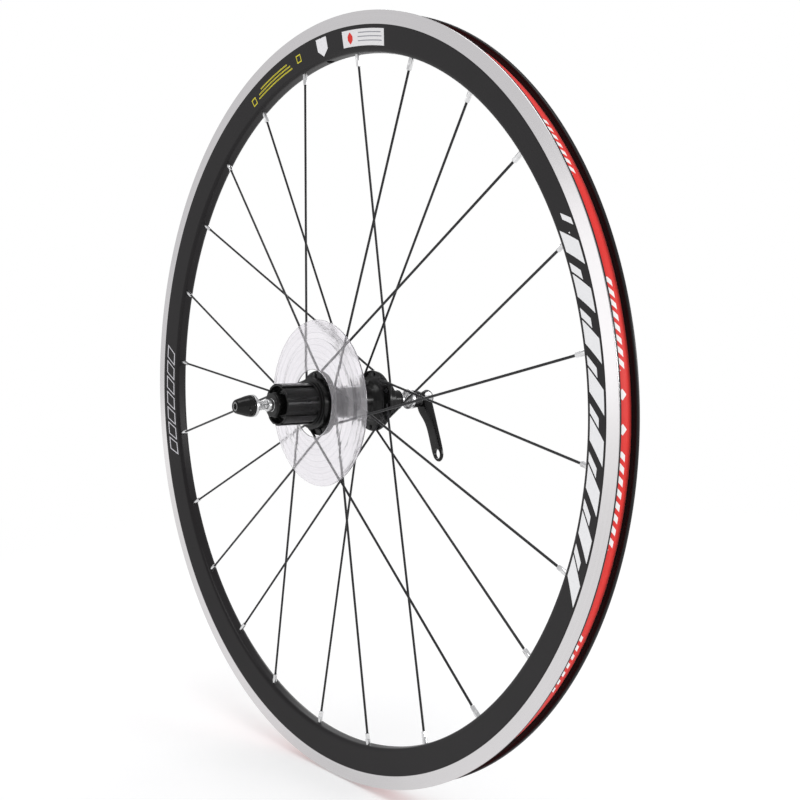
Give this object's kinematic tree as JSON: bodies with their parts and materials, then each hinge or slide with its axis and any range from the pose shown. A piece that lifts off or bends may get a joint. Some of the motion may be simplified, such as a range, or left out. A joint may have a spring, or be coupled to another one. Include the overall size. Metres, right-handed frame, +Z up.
{
  "type": "bicycle wheel with quick release",
  "caption": "Rear road-bicycle wheel with a black rim, dark spokes, a splined cassette freehub, a clear spoke protector and a quick-release skewer.",
  "frame": {"origin": "centre of the wheel: on the axle line, midway between the two dropout faces", "axes": "+Y along the axle towards the quick-release lever, +X the way the wheel rolls, +Z up through the valve hole"},
  "size_m": [0.6339, 0.2001, 0.634],
  "materials": {
    "rim": "satin black anodised, brake tracks machined bare",
    "tape": "red woven nylon",
    "spoke": "black oxide",
    "nipple": "nickel plated",
    "hub_black": "black anodised",
    "bearing_steel": "ground",
    "ball_steel": "polished",
    "cage_brass": "stamped",
    "seal_rubber": "moulded",
    "hard_steel": "hardened",
    "spring_steel": "drawn wire",
    "axle_alloy": "turned",
    "skewer_steel": "zinc plated",
    "skewer_black": "satin black powder coat",
    "shoe_plastic": "moulded acetal",
    "lock_plastic": "moulded nylon",
    "disc_plastic": "clear, faintly lilac"
  },
  "bodies": {
    "axle": {"axle": "axle_alloy", "drive_end_cap": "hub_black", "non_drive_end_cap": "hub_black", "bearing_spacer": "axle_alloy", "freehub_spacer": "axle_alloy", "hub_bearing_inner_races": "bearing_steel", "freehub_bearing_inner_races": "bearing_steel", "drive_spring": "spring_steel", "non_drive_spring": "spring_steel"},
    "wheel": {"hub_shell": "hub_black", "ratchet_ring": "hard_steel", "hub_bearing_outer_races": "bearing_steel", "hub_bearing_seals": "seal_rubber", "non_drive_seal": "seal_rubber", "freehub_seal": "seal_rubber", "rim": "rim", "rim_tape": "tape", "drive_trailing_spokes": "spoke", "drive_leading_spokes": "spoke", "non_drive_trailing_spokes": "spoke", "non_drive_leading_spokes": "spoke", "drive_nipples": "nipple", "non_drive_nipples": "nipple", "spoke_protector": "disc_plastic"},
    "hub_ball_train": {"hub_bearing_balls": "ball_steel", "hub_bearing_cages": "cage_brass"},
    "freehub": {"freehub_body": "hub_black", "freehub_bearing_outer_races": "bearing_steel", "freehub_bearing_seals": "seal_rubber", "pawl_springs": "spring_steel"},
    "freehub_ball_train": {"freehub_bearing_balls": "ball_steel", "freehub_bearing_cages": "cage_brass"},
    "pawl_1_body": {"pawl_1": "hard_steel"},
    "pawl_2_body": {"pawl_2": "hard_steel"},
    "pawl_3_body": {"pawl_3": "hard_steel"},
    "clamp_ring_body": {"clamp_ring": "skewer_steel"},
    "cap_body": {"skewer_cap": "skewer_black", "cam_shoe": "shoe_plastic"},
    "rod_body": {"skewer_rod": "skewer_steel", "cam_barrel_pin": "skewer_steel"},
    "lever_body": {"lever": "skewer_black"},
    "washer_body": {"nut_washer": "skewer_steel"},
    "nut_body": {"qr_nut": "skewer_black", "nut_insert": "skewer_steel", "nut_lock_ring": "lock_plastic"}
  },
  "joints": [
    {"name": "wheel_spin", "type": "hinge", "parent": "axle", "child": "wheel", "pos_m": [0, 0, 0], "axis": [0, 1, 0], "continuous": true},
    {"name": "hub_ball_spin", "type": "hinge", "parent": "axle", "child": "hub_ball_train", "pos_m": [0, 0, 0], "axis": [0, 1, 0], "continuous": true},
    {"name": "freehub_spin", "type": "hinge", "parent": "axle", "child": "freehub", "pos_m": [0, 0, 0], "axis": [0, 1, 0], "continuous": true},
    {"name": "freehub_ball_spin", "type": "hinge", "parent": "axle", "child": "freehub_ball_train", "pos_m": [0, 0, 0], "axis": [0, 1, 0], "continuous": true},
    {"name": "pawl_1_swing", "type": "hinge", "parent": "freehub", "child": "pawl_1_body", "pos_m": [0.0136, -0.0215, 0], "axis": [0, -1, 0], "range_deg": [0, 16], "stiffness_Nm_per_rad": 0.0002, "springref_deg": 57.3},
    {"name": "pawl_2_swing", "type": "hinge", "parent": "freehub", "child": "pawl_2_body", "pos_m": [-0.0068, -0.0215, 0.01178], "axis": [0, -1, 0], "range_deg": [0, 16], "stiffness_Nm_per_rad": 0.0002, "springref_deg": 57.3},
    {"name": "pawl_3_swing", "type": "hinge", "parent": "freehub", "child": "pawl_3_body", "pos_m": [-0.0068, -0.0215, -0.01178], "axis": [0, -1, 0], "range_deg": [0, 16], "stiffness_Nm_per_rad": 0.0002, "springref_deg": 57.3},
    {"name": "cap_float", "type": "slide", "parent": "axle", "child": "clamp_ring_body", "axis": [0, -1, 0], "range_m": [-0.0025, 0.0045], "stiffness_N_per_m": 150, "deforming": ["non_drive_spring"]},
    {"name": "skewer_spin", "type": "hinge", "parent": "clamp_ring_body", "child": "cap_body", "pos_m": [0, 0.083, 0], "axis": [0, 1, 0], "continuous": true},
    {"name": "rod_pull", "type": "slide", "parent": "cap_body", "child": "rod_body", "axis": [0, 1, 0], "range_m": [-0.0016, 0], "deforming": ["drive_spring"]},
    {"name": "lever_flip", "type": "hinge", "parent": "rod_body", "child": "lever_body", "pos_m": [0, 0.0959, 0], "axis": [0.9511, 0, 0.309], "range_deg": [0, 180]},
    {"name": "nut_travel", "type": "slide", "parent": "rod_body", "child": "washer_body", "axis": [0, 1, 0], "range_m": [0, 0.0096], "deforming": ["drive_spring"]},
    {"name": "nut_turn", "type": "hinge", "parent": "washer_body", "child": "nut_body", "pos_m": [0, -0.09, 0], "axis": [0, 1, 0], "range_deg": [0, 4320.5]}
  ],
  "couplings": [
    {"joint": "hub_ball_spin", "follows": "wheel_spin", "ratio": 0.57907},
    {"joint": "freehub_ball_spin", "follows": "freehub_spin", "ratio": 0.56154},
    {"joint": "rod_pull", "follows": "lever_flip", "m_per_rad": -0.00050929},
    {"joint": "nut_turn", "follows": "nut_travel", "rad_per_m": 7854}
  ]
}
